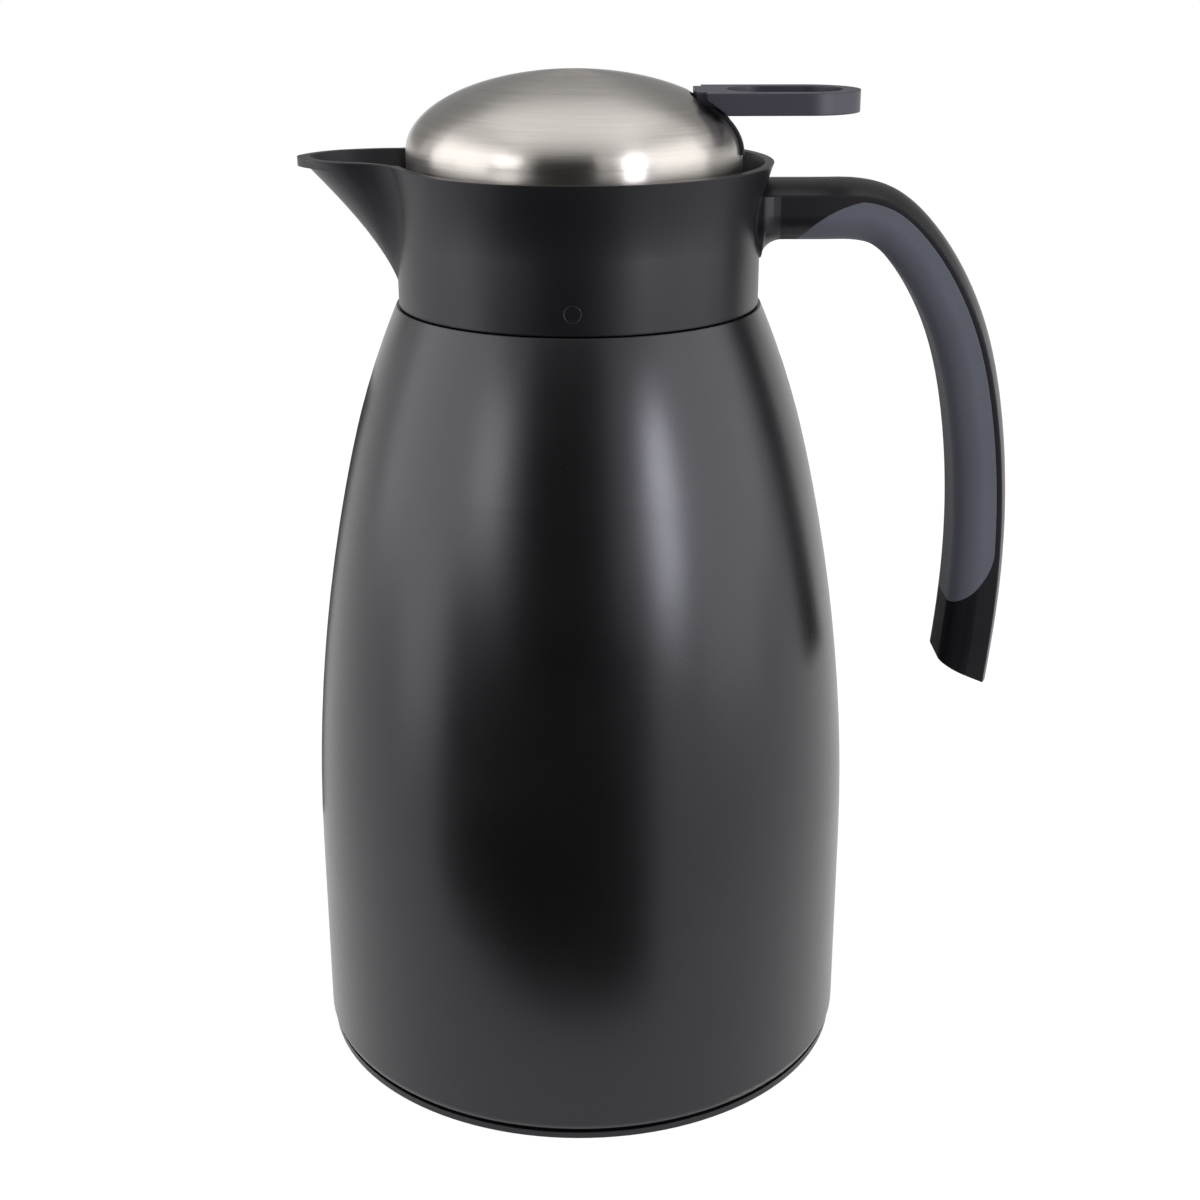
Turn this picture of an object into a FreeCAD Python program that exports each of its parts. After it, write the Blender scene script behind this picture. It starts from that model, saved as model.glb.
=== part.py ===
import FreeCAD, Part
import math
import os
import Sketcher

# Thermal jug: vacuum flask, collar with spout and handle, screwed stopper with a thumb lever.
# Millimetres. The origin is on the table at the jug's axis, +Z up, handle towards +X, spout towards -X.

SIZES = {
    # Vacuum flask
    "shell_radius": 64.7,
    "shell_wall": 0.6,
    "straight_top": 50.0,
    "shoulder_start": 148.0,
    "seam_height": 182.0,
    "seam_step": 0.6,
    "foot_corner": 2.6,
    "vacuum_gap": 4.5,
    "liner_shoulder_drop": 6.0,
    "liner_bottom_height": 17.0,
    "liner_corner": 9.0,
    "neck_radius": 28.2,
    "neck_gap": 2.2,
    "neck_height": 197.0,
    "rim_thickness": 0.6,
    "deck_drop": 0.8,
    # Base
    "base_rim_height": 1.5,
    "base_inset": 0.7,
    "base_floor": 2.4,
    "base_skirt_height": 7.0,
    "base_skirt_wall": 2.0,
    "pad_margin": 12.7,
    "pad_thickness": 1.4,
    "vacuum_bottom_height": 12.0,
    "vacuum_flange": 6.0,
    "getter_radius": 8.0,
    "getter_height": 2.4,
    # Collar
    "collar_radius": 41.0,
    "collar_wall": 2.4,
    "collar_floor": 2.1,
    "collar_gasket_height": 0.8,
    "flare_start": 198.0,
    "rim_height": 213.6,
    "rim_radius": 43.8,
    "rim_lip": 2.0,
    "sleeve_radius": 26.1,
    "sleeve_wall": 1.8,
    "sleeve_bottom": 186.0,
    "neck_ring_height": 6.0,
    "neck_ring_bottom": 186.5,
    # Spout
    "spout_reach": 62.6,
    "rim_rise_start": 26.0,
    "rim_rise_end": 47.0,
    "spout_rim": 214.7,
    "spout_lip_height": 2.0,
    "spout_lip_overhang": 2.3,
    "spout_bottom": 188.0,
    "spout_half_width": 18.2,
    "spout_wall": 2.3,
    # Handle
    "handle_top": 209.6,
    "handle_end": 90.1,
    "handle_reach": 101.3,
    "handle_thickness": 12.9,
    "handle_half_width": 11.0,
    "handle_crown": 2.6,
    "handle_round": 6.0,
    "root_flare": 4.5,
    "grip_band": 1.2,
    "grip_skin": 2.4,
    # Stopper
    "thread_clearance": 0.5,
    "stopper_wall": 2.2,
    "stopper_flange": 3.2,
    "stopper_flange_height": 1.0,
    "stopper_gasket_height": 0.9,
    "port_height": 3.0,
    "port_half_width": 5.5,
    "port_count": 8,
    "port_roof": 0.5,
    "deck_thickness": 2.3,
    "guide_boss_radius": 5.5,
    "guide_boss_height": 5.0,
    "guide_boss_depth": 3.5,
    "plug_depth": 20.5,
    "seat_thickness": 3.6,
    "seat_bore": 17.0,
    "seat_spigot": 2.0,
    "seat_spigot_wall": 1.5,
    # Valve
    "stem_radius": 2.5,
    "stem_clearance": 0.08,
    "valve_disc_radius": 19.5,
    "valve_disc_thickness": 2.2,
    "valve_seal_radius": 21.0,
    "valve_seal_width": 6.0,
    "valve_seal_height": 1.6,
    "valve_gap": 0.2,
    "stem_cap_radius": 6.5,
    "stem_cap_thickness": 2.4,
    "stem_seal_radius": 4.8,
    "stem_seal_height": 1.2,
    "spring_radius": 7.5,
    "spring_wire": 0.5,
    "spring_turns": 5,
    # Lid
    "dome_radius": 37.5,
    "dome_height": 17.2,
    "dome_skirt": 7.7,
    "dome_lap": 0.2,
    "dome_wall": 0.5,
    "dome_set_forward": 0.8,
    "slot_half_width": 9.9,
    "slot_drop": 1.0,
    "slot_start": 24.6,
    "slot_corner": 4.0,
    "frame_floor": 2.0,
    "frame_rim_height": 5.5,
    "frame_rim_wall": 1.8,
    "ear_thickness": 1.2,
    "surround_depth": 0.2,
    "slot_wall_rise": 0.8,
    "slot_wall_thickness": 1.8,
    "lid_screw_circle": 17.5,
    "lid_screw_radius": 1.4,
    "lid_screw_head": 2.8,
    "lid_screw_head_height": 1.8,
    "lid_screw_length": 8.0,
    # Thumb lever
    "lever_tip": 62.6,
    "lever_half_width": 12.0,
    "lever_rise": 3.2,
    "lever_thickness": 4.7,
    "ring_rim": 3.9,
    "ring_hole_start": 33.0,
    "ring_hole_half_width": 8.0,
    "lever_arm_clearance": 0.35,
    "lever_dome_gap": 1.7,
    "lever_wing_start": 28.0,
    "neck_setback": 2.4,
    "pivot_reach": 28.4,
    "pivot_rise": 5.0,
    "pivot_hub_radius": 3.2,
    "pivot_pin_radius": 1.25,
    "pivot_clearance": 0.06,
    "arm_thickness": 3.6,
    "fork_pad_height": 1.3,
    "fork_pad_half_length": 1.5,
    "fork_gap": 0.6,
    "fork_overlap": 6.0,
    "lift_gap": 0.4,
    # Shared clearances
    "gap": 0.3,
    "thin_gap": 0.1,
    "overrun": 2.0,
}

BELLY_DROP_SHARE = 0.503

# Spout: heights, reaches and widths as shares of the spout's rise, overhang and half width.
SPOUT_LEVEL_SHARES = (0.0, 0.231, 0.4625, 0.694, 0.925, 1.0)
SPOUT_REACH_SHARES = (0.01, 0.19, 0.423, 0.698, 1.0, 1.1)
SPOUT_WIDTH_SHARES = (0.434, 0.705, 0.841, 0.933, 0.987, 1.0)
# Plan of one level, from the crease at the collar to the nose: along and across.
SPOUT_PLAN_SHARES = ((0.0, 1.0), (0.34, 0.79), (0.64, 0.655), (0.86, 0.42), (1.0, 0.0))

NOSE_POWER = 6

# The rim's sweep up to the spout, as shares of its length and of its rise
RIM_RISE_SHARES = ((0.0, 0.0), (0.1, 0.028), (0.3, 0.216), (0.5, 0.5), (0.7, 0.784), (0.9, 0.972), (1.0, 1.0))

# Points on the handle's back, from the collar to its free end: share of the reach, share of the drop.
HANDLE_BACK_SHARES = (
    (0.0000, 1.0000),
    (0.0800, 1.0000),
    (0.1600, 1.0000),
    (0.2400, 1.0000),
    (0.3255, 1.0000),
    (0.4930, 0.9825),
    (0.6500, 0.9195),
    (0.7595, 0.8442),
    (0.8690, 0.7296),
    (0.9503, 0.5720),
    (0.9934, 0.3909),
    (0.9983, 0.2041),
    (0.9669, 0.0000),
    (0.9530, -0.0650),
)
HANDLE_SECTIONS = 26
HANDLE_END_SHARES = ((0.9669, 0.0000), (0.7540, 0.0450))
# Flare of the handle's root: where its sections stand, and how much of it the sides take.
ROOT_FLARE_SHARES = (0.0, 0.02, 0.1, 0.25, 0.45, 0.7, 1.0)
ROOT_SIDE_SHARE = 0.3
ROOT_CORNER_SHARE = 0.9
# Grip insert: its edges as shares of the same reach and drop, and where it runs along the back.
GRIP_START_SHARES = ((0.098, 0.8745), (0.231, 0.9406))
GRIP_RUN_SHARES = (0.160, 0.760)
GRIP_END_SHARES = ((0.885, 0.212), (0.775, 0.169), (0.690, 0.166))


class Term:
    """A size that knows both its value and its spreadsheet expression."""

    def __init__(self, value, text):
        self.value = float(value)
        self.text = text

    def __add__(self, other):
        other = term(other)
        return Term(self.value + other.value, f"({self.text} + {other.text})")

    __radd__ = __add__

    def __sub__(self, other):
        other = term(other)
        return Term(self.value - other.value, f"({self.text} - {other.text})")

    def __rsub__(self, other):
        return term(other) - self

    def __mul__(self, other):
        other = term(other)
        return Term(self.value * other.value, f"({self.text} * {other.text})")

    __rmul__ = __mul__

    def __truediv__(self, other):
        other = term(other)
        return Term(self.value / other.value, f"({self.text} / {other.text})")

    def root(self):
        return Term(math.sqrt(self.value), f"sqrt({self.text})")


def term(item):
    return item if isinstance(item, Term) else Term(item, repr(float(item)))


class Dimensions:
    """Every named size of the sheet as a Term, read as an attribute."""

    def __init__(self, sheet):
        for name in SIZES:
            setattr(self, name, Term(sheet.get(name), f"Sizes.{name}"))


doc = FreeCAD.newDocument("thermal_jug")
sheet = doc.addObject("Spreadsheet::Sheet", "Sizes")
for row, (name, value) in enumerate(SIZES.items(), start=1):
    sheet.set(f"A{row}", name)
    sheet.set(f"B{row}", str(value))
    sheet.setAlias(f"B{row}", name)
doc.recompute()
d = Dimensions(sheet)
nodes = []


# Drawing helpers

def vector(x, y, z=0.0):
    return FreeCAD.Vector(x, y, z)


def origin_feature(body, role):
    for feature in body.Origin.OriginFeatures:
        if feature.Role == role:
            return feature
    raise ValueError(role)


class Corner:
    """A corner of an outline, and the arc to the next corner if bend is not 0.

    bend is 1 where the arc's centre lies to the left of the way to the next corner, -1 to its right.
    """

    def __init__(self, across, up, radius=None, bend=0):
        self.across = term(across)
        self.up = term(up)
        self.radius = None if radius is None else term(radius)
        self.bend = bend


def arc_edge(start, end, radius, bend):
    """Return the arc from start to end, and whether it runs from its own first point."""
    chord = end - start
    half = chord.Length / 2
    middle = (start + end) * 0.5
    left = vector(-chord.y, chord.x) * (1 / chord.Length)
    reach = math.sqrt(max(radius * radius - half * half, 0.0))
    centre = middle + left * (reach * bend)
    first, last = (start, end) if bend > 0 else (end, start)
    begin = math.atan2(first.y - centre.y, first.x - centre.x)
    finish = math.atan2(last.y - centre.y, last.x - centre.x)
    if finish < begin:
        finish += 2 * math.pi
    circle = Part.Circle(centre, vector(0, 0, 1), radius)
    return Part.ArcOfCircle(circle, begin, finish), bend > 0


def bind(sketch, kind, geometry, point, name, size):
    """Hold a point of the sketch at a bound distance from the sketch's origin."""
    if size.value == 0 and size.text == "0.0":
        axis = -2 if kind == "DistanceX" else -1
        sketch.addConstraint(Sketcher.Constraint("PointOnObject", geometry, point, axis))
        return
    index = sketch.addConstraint(Sketcher.Constraint(kind, -1, 1, geometry, point, size.value))
    sketch.renameConstraint(index, name)
    sketch.setExpression(f"Constraints.{name}", size.text)


def draw_loop(sketch, corners, tag):
    """Add one closed outline, each corner and radius bound to the sheet."""
    ends = []
    for index, corner in enumerate(corners):
        follower = corners[(index + 1) % len(corners)]
        start = vector(corner.across.value, corner.up.value)
        end = vector(follower.across.value, follower.up.value)
        if corner.bend:
            edge, forward = arc_edge(start, end, corner.radius.value, corner.bend)
            geometry = sketch.addGeometry(edge, False)
            ends.append((geometry, 1 if forward else 2, 2 if forward else 1))
        else:
            geometry = sketch.addGeometry(Part.LineSegment(start, end), False)
            ends.append((geometry, 1, 2))
    for index, corner in enumerate(corners):
        geometry, first, last = ends[index]
        following, begin, _ = ends[(index + 1) % len(corners)]
        sketch.addConstraint(Sketcher.Constraint("Coincident", geometry, last, following, begin))
        bind(sketch, "DistanceX", geometry, first, f"{tag}x{index}", corner.across)
        bind(sketch, "DistanceY", geometry, first, f"{tag}y{index}", corner.up)
        if corner.bend:
            held = sketch.addConstraint(Sketcher.Constraint("Radius", geometry, corner.radius.value))
            sketch.renameConstraint(held, f"{tag}r{index}")
            sketch.setExpression(f"Constraints.{tag}r{index}", corner.radius.text)


def new_sketch(body, name, role, height=None):
    sketch = body.newObject("Sketcher::SketchObject", name)
    sketch.AttachmentSupport = [(origin_feature(body, role), "")]
    sketch.MapMode = "FlatFace"
    if height is not None:
        sketch.AttachmentOffset = FreeCAD.Placement(vector(0, 0, height.value), FreeCAD.Rotation())
        sketch.setExpression(".AttachmentOffset.Base.z", height.text)
    return sketch


def revolved_body(label, *outlines):
    """A body turned about the jug's axis from outlines of radius and height."""
    body = doc.addObject("PartDesign::Body", label)
    body.Label = label
    sketch = new_sketch(body, f"{label}_profile", "YZ_Plane")
    for number, corners in enumerate(outlines):
        draw_loop(sketch, corners, "abc"[number])
    turn = body.newObject("PartDesign::Revolution", f"{label}_turn")
    turn.Profile = sketch
    turn.ReferenceAxis = (sketch, ["V_Axis"])
    turn.Angle = 360.0
    sketch.Visibility = False
    return body


def solid_feature(label, shape):
    """A solid worked out in this file from the sheet's values."""
    feature = doc.addObject("Part::Feature", label)
    feature.Label = label
    feature.Shape = shape
    return feature


def cut_feature(label, base, *tools):
    """A Part::Cut of one object by one or more others."""
    tool = tools[0] if len(tools) == 1 else fuse_feature(f"{label}_tools", *tools)
    feature = doc.addObject("Part::Cut", label)
    feature.Label = label
    feature.Base = base
    feature.Tool = tool
    return feature


def fuse_feature(label, *shapes):
    feature = doc.addObject("Part::MultiFuse", label)
    feature.Label = label
    feature.Shapes = list(shapes)
    return feature


def common_feature(label, *shapes):
    feature = doc.addObject("Part::MultiCommon", label)
    feature.Label = label
    feature.Shapes = list(shapes)
    return feature


def keep(feature):
    """List a finished sub-part, which is written under its label."""
    nodes.append(feature)
    return feature


def box_outline(low_across, high_across, low_up, high_up):
    return [
        Corner(low_across, low_up),
        Corner(high_across, low_up),
        Corner(high_across, high_up),
        Corner(low_across, high_up),
    ]


def ring_body(label, inner, outer, bottom, top):
    return revolved_body(label, box_outline(inner, outer, bottom, top))


# Places that several pieces share

seam_radius = d.collar_radius + d.seam_step
shoulder_radius = d.shell_radius - (d.shell_radius - seam_radius) * BELLY_DROP_SHARE
pad_radius = d.shell_radius - d.pad_margin
belly_rise = d.shoulder_start - d.straight_top
belly_drop = d.shell_radius - shoulder_radius
belly_arc = (belly_rise * belly_rise + belly_drop * belly_drop) / (belly_drop * 2)
belly_cos = 1 - belly_drop / belly_arc
belly_sin = belly_rise / belly_arc
liner_inset = d.shell_wall + d.vacuum_gap
neck_outer = d.neck_radius + d.shell_wall
shell_neck = neck_outer + d.neck_gap
rim_top = d.neck_height + d.rim_thickness
floor_under = rim_top + d.collar_gasket_height
floor_top = floor_under + d.collar_floor
basin_radius = d.collar_radius - d.collar_wall
tube_radius = d.sleeve_radius - d.thread_clearance
tube_bore = tube_radius - d.stopper_wall
flange_bottom = floor_top + d.stopper_gasket_height
flange_top = flange_bottom + d.stopper_flange_height
deck_height = flange_top + d.gap + d.port_height + d.port_roof
deck_top = deck_height + d.deck_thickness
frame_floor_top = deck_top + d.frame_floor
seat_height = floor_top - d.plug_depth
valve_bottom = seat_height + d.valve_gap
disc_bottom = valve_bottom + d.valve_seal_height
disc_top = disc_bottom + d.valve_disc_thickness
guide_bore = d.stem_radius + d.stem_clearance
guide_top = deck_top + d.guide_boss_height
guide_bottom = deck_height - d.guide_boss_depth
dome_bottom = deck_top - d.dome_lap
dome_waist = dome_bottom + d.dome_skirt
slot_bottom = dome_waist - d.slot_drop
pivot_height = dome_waist + d.pivot_rise
slot_wall_top = pivot_height + d.slot_wall_rise
lever_underside = pivot_height + d.lever_rise
lever_top = lever_underside + d.lever_thickness
arm_top = pivot_height - d.pivot_hub_radius + d.arm_thickness
arm_bottom = arm_top - d.arm_thickness
fork_top = arm_top + d.fork_pad_height
cap_bottom = fork_top + d.lift_gap
cap_top = cap_bottom + d.stem_cap_thickness
arm_half_width = d.slot_half_width - d.ear_thickness - d.lever_arm_clearance
dome_bore = d.dome_radius - d.dome_wall


def shoulder_arc(rise, drop):
    """Radius of the arc that leaves the belly's arc smoothly and ends rise higher and drop further in."""
    return (rise * rise + drop * drop) / ((drop * belly_cos - rise * belly_sin) * 2)


# Vacuum flask

def flask_side(inset, bottom, top, top_radius):
    """Corners of the flask's side from bottom to top, with the belly and shoulder arcs."""
    side = d.shell_radius - inset
    shoulder = shoulder_radius - inset
    rise = top - d.shoulder_start
    return [
        Corner(side, bottom),
        Corner(side, d.straight_top, belly_arc, 1),
        Corner(shoulder, d.shoulder_start, shoulder_arc(rise, shoulder - top_radius), 1),
        Corner(top_radius, top),
    ]


def flask_side_down(inset, bottom, top, top_radius, corner):
    """The same side, drawn from top to bottom and on into its corner."""
    side = d.shell_radius - inset
    shoulder = shoulder_radius - inset
    rise = top - d.shoulder_start
    return [
        Corner(top_radius, top, shoulder_arc(rise, shoulder - top_radius), -1),
        Corner(shoulder, d.shoulder_start, belly_arc, -1),
        Corner(side, d.straight_top),
        Corner(side, bottom, corner, -1),
    ]


def outer_shell():
    """Painted steel shell, from its turned-in foot to the top of its neck."""
    wall = d.shell_wall
    deck = d.seam_height - d.deck_drop
    foot = d.base_rim_height + d.thin_gap
    return revolved_body(
        "outer_shell",
        [Corner(d.shell_radius - d.foot_corner, foot, d.foot_corner, 1)]
        + flask_side(0, foot + d.foot_corner, d.seam_height, seam_radius)
        + [
            Corner(seam_radius - wall * 2, d.seam_height),
            Corner(seam_radius - wall * 2, deck),
            Corner(shell_neck + wall, deck),
            Corner(shell_neck + wall, d.neck_height),
            Corner(shell_neck, d.neck_height),
            Corner(shell_neck, deck - wall),
            Corner(seam_radius - wall * 3, deck - wall),
        ]
        + flask_side_down(
            wall, foot + d.foot_corner, deck - wall * 4, seam_radius - wall * 2, d.foot_corner - wall
        )
        + [Corner(d.shell_radius - d.foot_corner, foot + wall)],
    )


def inner_liner():
    """Steel vessel that holds the drink, with a rolled rim over the shell's neck."""
    wall = d.shell_wall
    bottom = d.liner_bottom_height
    corner = d.liner_corner
    top = d.seam_height - d.liner_shoulder_drop
    draw_in = (shoulder_radius - seam_radius) * (top - d.shoulder_start) / (d.seam_height - d.shoulder_start)
    shoulder_end = shoulder_radius - liner_inset - draw_in
    neck_start = top + d.liner_shoulder_drop / 2
    side = d.shell_radius - liner_inset
    return revolved_body(
        "inner_liner",
        [Corner(0, bottom), Corner(side - corner, bottom, corner, 1)]
        + flask_side(liner_inset, bottom + corner, top, shoulder_end)
        + [
            Corner(neck_outer, neck_start),
            Corner(neck_outer, d.neck_height),
            Corner(shell_neck + wall, d.neck_height),
            Corner(shell_neck + wall, rim_top),
            Corner(d.neck_radius, rim_top),
            Corner(d.neck_radius, neck_start - wall),
        ]
        + flask_side_down(liner_inset + wall, bottom + corner, top - wall, shoulder_end - wall, corner - wall)
        + [Corner(side - corner, bottom + wall), Corner(0, bottom + wall)],
    )


def vacuum_bottom():
    """Steel cup pressed into the shell that closes the vacuum space."""
    wall = d.shell_wall
    outer = d.shell_radius - wall - d.thin_gap
    top = d.vacuum_bottom_height
    return revolved_body(
        "vacuum_bottom",
        [
            Corner(0, top - wall),
            Corner(outer - wall, top - wall),
            Corner(outer - wall, top - d.vacuum_flange),
            Corner(outer, top - d.vacuum_flange),
            Corner(outer, top),
            Corner(0, top),
        ],
    )


def base_plate():
    """Plastic foot: a rim that shows under the shell and a skirt that holds inside it."""
    rim = d.shell_radius - d.base_inset
    skirt = d.shell_radius - d.foot_corner - d.thin_gap
    pad_seat = d.pad_thickness
    return revolved_body(
        "base_plate",
        [
            Corner(0, pad_seat),
            Corner(pad_radius + d.thin_gap, pad_seat),
            Corner(pad_radius + d.thin_gap, 0),
            Corner(rim, 0),
            Corner(rim, d.base_rim_height),
            Corner(skirt, d.base_rim_height),
            Corner(skirt, d.base_skirt_height),
            Corner(skirt - d.base_skirt_wall, d.base_skirt_height),
            Corner(skirt - d.base_skirt_wall, pad_seat + d.base_floor),
            Corner(0, pad_seat + d.base_floor),
        ],
    )


# Collar: outer form, hollows, spout and handle

def collar_flare(offset):
    """Radius of the arc with which the collar's wall flares to its rim."""
    rise = d.rim_height - d.flare_start
    spread = d.rim_radius - d.collar_radius - offset
    return (rise * rise + spread * spread) / (spread * 2)


def collar_form():
    """The collar's outer form as one full solid, as high as the spout all round."""
    flare_slope = (d.rim_height - d.flare_start) / (collar_flare(0) - d.rim_radius + d.collar_radius)
    return revolved_body(
        "collar_form",
        [
            Corner(0, d.seam_height + d.gap),
            Corner(d.collar_radius, d.seam_height + d.gap),
            Corner(d.collar_radius, d.flare_start, collar_flare(0), -1),
            Corner(d.rim_radius, d.rim_height),
            Corner(d.rim_radius + (d.spout_rim - d.rim_height) * flare_slope, d.spout_rim),
            Corner(0, d.spout_rim),
        ],
    )


def collar_basin():
    """The pour basin above the collar's floor."""
    return revolved_body(
        "collar_basin",
        [
            Corner(0, floor_top),
            Corner(basin_radius, floor_top),
            Corner(d.rim_radius - d.rim_lip, d.rim_height),
            Corner(d.rim_radius - d.rim_lip, d.spout_rim + d.overrun),
            Corner(0, d.spout_rim + d.overrun),
        ],
    )


def collar_underside():
    """The space between the collar's wall and its sleeve, open from below, and the sleeve's bore."""
    sleeve_outer = d.sleeve_radius + d.sleeve_wall
    return revolved_body(
        "collar_underside",
        [
            Corner(0, d.seam_height),
            Corner(basin_radius, d.seam_height),
            Corner(basin_radius, floor_under),
            Corner(sleeve_outer, floor_under),
            Corner(sleeve_outer, d.sleeve_bottom),
            Corner(d.sleeve_radius, d.sleeve_bottom),
            Corner(d.sleeve_radius, floor_top + d.overrun),
            Corner(0, floor_top + d.overrun),
        ],
    )


def collar_face(level):
    """The collar's outer radius at a height."""
    radius = d.collar_radius.value
    rise = level - d.flare_start.value
    if rise <= 0:
        return radius
    flare = collar_flare(0).value
    return radius + flare - math.sqrt(flare * flare - rise * rise)


def spout_wire(level, root, reach, half_width, nose=0.0):
    """One level outline of the spout, from the collar to the nose and back; nose lengthens only its tip."""
    face = collar_face(min(level, d.rim_height.value))
    crease = math.sqrt(max(face ** 2 - half_width ** 2, 0.0)) - d.gap.value
    far = []
    for along, across in SPOUT_PLAN_SHARES:
        x = crease + along * (reach - crease) + nose * along ** NOSE_POWER
        far.append(vector(-x, half_width * across, level))
    near = [vector(point.x, -point.y, level) for point in reversed(far[:-1])]
    start = vector(-root, half_width, level)
    end = vector(-root, -half_width, level)
    edges = [Part.LineSegment(start, far[0]).toShape(), spline(far + near).toShape()]
    edges.append(Part.LineSegment(near[-1], end).toShape())
    edges.append(Part.LineSegment(end, start).toShape())
    return Part.Wire(edges)


def spout_level(share):
    """Height, reach and half width at a share of the spout's rise."""
    shares = SPOUT_LEVEL_SHARES
    step = max(spot for spot in range(len(shares) - 1) if share >= shares[spot])
    part = (share - shares[step]) / (shares[step + 1] - shares[step])
    height = d.spout_bottom.value + (d.spout_rim.value - d.spout_bottom.value) * share
    keel = d.spout_reach.value - d.spout_lip_overhang.value - d.collar_radius.value
    reach = SPOUT_REACH_SHARES[step] * (1 - part) + SPOUT_REACH_SHARES[step + 1] * part
    width = SPOUT_WIDTH_SHARES[step] * (1 - part) + SPOUT_WIDTH_SHARES[step + 1] * part
    return height, d.collar_radius.value + keel * reach, d.spout_half_width.value * width


def spout_share(height):
    """Share of the spout's rise that a height is at."""
    return (height - d.spout_bottom.value) / (d.spout_rim.value - d.spout_bottom.value)


def spout_form():
    """The spout's outer form: a keel lofted up from the collar's wall and a lip that stands out at its nose."""
    root = basin_radius.value - d.stopper_flange.value
    wires = [spout_wire(z, root, reach, half) for z, reach, half in map(spout_level, SPOUT_LEVEL_SHARES)]
    keel = Part.makeLoft(wires, True, False)
    lip_under, reach, half = spout_level(spout_share(d.spout_rim.value - d.spout_lip_height.value))
    outline = spout_wire(lip_under, root, reach, half - d.gap.value, d.spout_lip_overhang.value)
    lip = Part.Face(outline).extrude(vector(0, 0, d.spout_lip_height.value))
    return solid_feature("spout_form", keel.fuse(lip).removeSplitter())


def rim_crown():
    """What is cut off above the rim, which runs level round the collar and rises in an even sweep to the spout."""
    rim, top = d.rim_height.value, d.spout_rim.value
    start, end = d.rim_rise_start.value, d.rim_rise_end.value
    sweep = [vector(-start - (end - start) * x, 0, rim + (top - rim) * z) for x, z in RIM_RISE_SHARES]
    reach = d.spout_reach.value + d.overrun.value
    above = top + d.overrun.value * 2
    spots = [(-reach, top), (-reach, above), (reach, above), (reach, rim)]
    spots = [sweep[-1]] + [vector(x, 0, z) for x, z in spots] + [sweep[0]]
    edges = [Part.LineSegment(*pair).toShape() for pair in zip(spots, spots[1:])]
    face = Part.Face(Part.Wire([spline(sweep).toShape()] + edges))
    half = d.rim_radius.value + d.overrun.value
    face.translate(vector(0, -half, 0))
    return solid_feature("rim_crown", face.extrude(vector(0, half * 2, 0)))


def spout_channel():
    """The hollow of the spout, from the basin's floor to above its mouth."""
    wall = d.spout_wall.value
    root = basin_radius.value - d.stopper_flange.value
    first = spout_share(floor_top.value)
    wires = []
    for share in (first, (first + 1) / 2, 1.0):
        height, reach, half = spout_level(share)
        wires.append(spout_wire(height, root, reach - wall, half - wall))
    height, reach, half = spout_level(1.0)
    mouth = d.spout_rim.value + wall
    wires.append(spout_wire(mouth, root, reach, half - wall + d.gap.value))
    return solid_feature("spout_channel", Part.makeLoft(wires, True, True))


def share_point(along, down):
    """A point of the side view from shares of the handle's reach and drop."""
    span = d.handle_reach.value - d.collar_radius.value
    drop = d.handle_top.value - d.handle_end.value
    return vector(d.collar_radius.value + span * along, 0, d.handle_end.value + drop * down)


def spline(points):
    """A smooth curve through points."""
    curve = Part.BSplineCurve()
    curve.interpolate(points)
    return curve


def handle_back():
    """The line of the handle's back, from inside the collar's wall to past its free end."""
    inside = vector(basin_radius.value - d.collar_wall.value, 0, d.handle_top.value)
    return spline([inside] + [share_point(*shares) for shares in HANDLE_BACK_SHARES])


def handle_stations(low_share=0.0, high_share=1.0, count=HANDLE_SECTIONS):
    """Evenly spaced points of the back, each with the direction that leads away from the hand's side."""
    back = handle_back()
    stations = []
    length = back.length()
    for step in range(count):
        share = low_share + (high_share - low_share) * step / (count - 1)
        parameter = back.parameterAtDistance(length * share, back.FirstParameter)
        point = back.value(parameter)
        heading = back.tangent(parameter)[0]
        stations.append((point, vector(-heading.z, 0, heading.x)))
    return stations


def place(station, side, depth):
    """A point of the handle at a station, from its distance to the side and its depth below the back."""
    point, outwards = station
    spot = point - outwards * depth
    return vector(spot.x, side, spot.z)


def cover_wire(station):
    """The crowned back's section: an arc over its chord, both in two halves."""
    half = d.handle_half_width.value
    crown = d.handle_crown.value
    radius = (half * half + crown * crown) / (crown * 2)
    middle = radius - math.sqrt(radius * radius - half * half / 4)
    near, far = place(station, -half, crown), place(station, half, crown)
    top = place(station, 0, 0)
    edges = [
        Part.Arc(near, place(station, -half / 2, middle), top),
        Part.Arc(top, place(station, half / 2, middle), far),
        Part.LineSegment(far, place(station, 0, crown)),
        Part.LineSegment(place(station, 0, crown), near),
    ]
    return Part.Wire([edge.toShape() for edge in edges])


def rounded_wire(spot, half, top, bottom, turn):
    """A flat-topped section with rounded lower corners, laid out by spot(side, depth)."""
    bulge = turn * (1 - math.sqrt(0.5))
    edges = [
        Part.LineSegment(spot(-half, top), spot(half, top)),
        Part.LineSegment(spot(half, top), spot(half, bottom - turn)),
        Part.Arc(spot(half, bottom - turn), spot(half - bulge, bottom - bulge), spot(half - turn, bottom)),
        Part.LineSegment(spot(half - turn, bottom), spot(turn - half, bottom)),
        Part.Arc(spot(turn - half, bottom), spot(bulge - half, bottom - bulge), spot(-half, bottom - turn)),
        Part.LineSegment(spot(-half, bottom - turn), spot(-half, top)),
    ]
    return Part.Wire([edge.toShape() for edge in edges])


def core_wire(station, skin):
    """The section under the back, set in by a skin."""
    return rounded_wire(
        lambda side, depth: place(station, side, depth),
        d.handle_half_width.value - skin,
        d.handle_crown.value + skin,
        d.handle_thickness.value - skin,
        max(d.handle_round.value - skin, skin),
    )


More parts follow.
